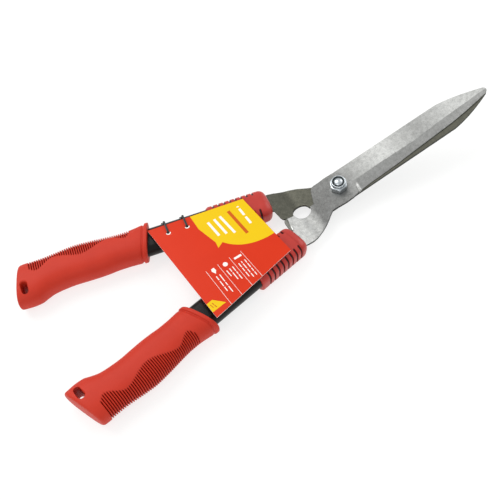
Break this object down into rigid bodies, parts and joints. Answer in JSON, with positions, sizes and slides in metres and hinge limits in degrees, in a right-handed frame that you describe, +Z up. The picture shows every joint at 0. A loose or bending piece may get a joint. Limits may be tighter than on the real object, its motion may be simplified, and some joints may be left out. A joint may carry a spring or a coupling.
{
  "type": "garden hedge shear",
  "caption": "Two-handed garden hedge shear: straight bevelled blades on a bolted pivot, cranked shanks, oval tube handles, slotted collars, ribbed red grips and a tied-on shop card.",
  "frame": {"origin": "under the middle of the overall length, on the surface the grips and collars lie on", "axes": "+X along the centre line toward the blade tips, +Y toward the handle that carries the card, +Z up"},
  "size_m": [0.5445, 0.1868, 0.0598],
  "materials": {
    "blade_steel": "ground and brushed carbon steel",
    "blade_steel_inner": "oiled, unpolished carbon steel",
    "zinc": "bright zinc plated steel",
    "nylon": "nylon ring",
    "tube_paint": "semi-gloss black paint on oval steel tube",
    "collar_plastic": "satin moulded plastic",
    "grip_vinyl": "matte soft vinyl",
    "printed_card": "glossy printed card",
    "black_nylon": "nylon cable tie"
  },
  "bodies": {
    "card_half": {"lower_blade": "blade_steel_inner", "spring_washer": "zinc", "pivot_bolt": "zinc", "pivot_nut": "zinc", "nut_insert": "nylon", "tube_a": "tube_paint", "tang_rivet_a_1": "zinc", "tang_rivet_a_2": "zinc", "collar_a": "collar_plastic", "grip_a": "grip_vinyl", "card": "printed_card", "cable_tie_1": "black_nylon", "cable_tie_2": "black_nylon"},
    "free_half": {"upper_blade": "blade_steel", "tube_b": "tube_paint", "tang_rivet_b_1": "zinc", "tang_rivet_b_2": "zinc", "collar_b": "collar_plastic", "grip_b": "grip_vinyl"}
  },
  "joints": [
    {"name": "blade_pivot", "type": "hinge", "parent": "card_half", "child": "free_half", "pos_m": [0.07045, 0, 0.018], "axis": [-0.1891, 0, 0.982], "range_deg": [0, 65]}
  ]
}
